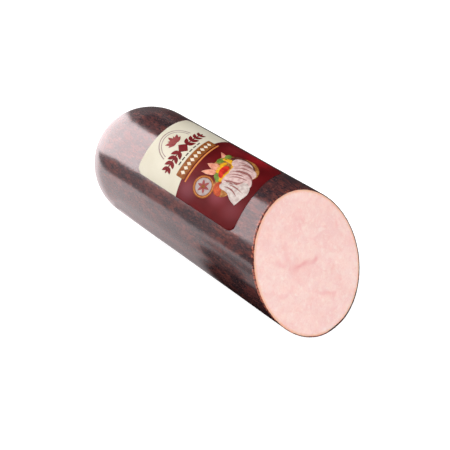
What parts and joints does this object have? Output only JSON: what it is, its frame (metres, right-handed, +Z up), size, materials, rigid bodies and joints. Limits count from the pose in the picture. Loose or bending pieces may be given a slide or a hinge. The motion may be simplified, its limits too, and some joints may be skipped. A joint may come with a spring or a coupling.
{
  "type": "ham log",
  "caption": "Cooked, smoked ham log in a clipped film casing with a label along the top, cut on the slant to show pale pink meat.",
  "frame": {"origin": "middle of the base of the bounding box, under the log", "axes": "+X along the log from the rounded, clipped end to the slanted cut, +Z up, -Y to the side the label leans towards"},
  "size_m": [0.27, 0.105, 0.1048],
  "materials": {
    "ham": "moist pressed cooked ham, pale pink, with a thin smoked orange-brown rind",
    "casing": "clear glossy film over a dark smoked surface with paprika and pepper flecks",
    "clip": "bright drawn wire",
    "label": "printed glossy sticker, cream and dark red with a gold band"
  },
  "bodies": {
    "root": {"ham": "ham", "casing": "casing", "end_clip": "clip", "label": "label"}
  },
  "joints": []
}
